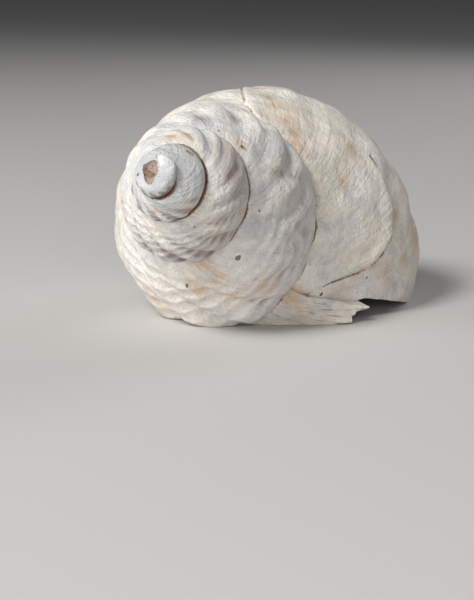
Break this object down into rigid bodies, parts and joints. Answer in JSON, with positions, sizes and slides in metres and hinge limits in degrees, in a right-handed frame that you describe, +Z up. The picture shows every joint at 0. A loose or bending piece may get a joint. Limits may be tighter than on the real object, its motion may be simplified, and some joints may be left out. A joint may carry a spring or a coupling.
{
  "type": "sea snail shell",
  "caption": "Sea-worn, ribbed sea snail shell coiled to the right, with a pointed spire and an open mouth, lying on its lip.",
  "frame": {"origin": "centre of the bounding box in plan, on the ground that the shell lies on", "axes": "+Y runs level from the apex end towards the canal end, under the coil axis; +X towards the outer lip; +Z up"},
  "size_m": [0.0558, 0.082, 0.0425],
  "materials": {
    "shell": "matte, chalky and sea-worn; cream white with grey and mauve on the spire, tan stains and dark dirt in the seams"
  },
  "bodies": {
    "root": {"shell": "shell"}
  },
  "joints": []
}
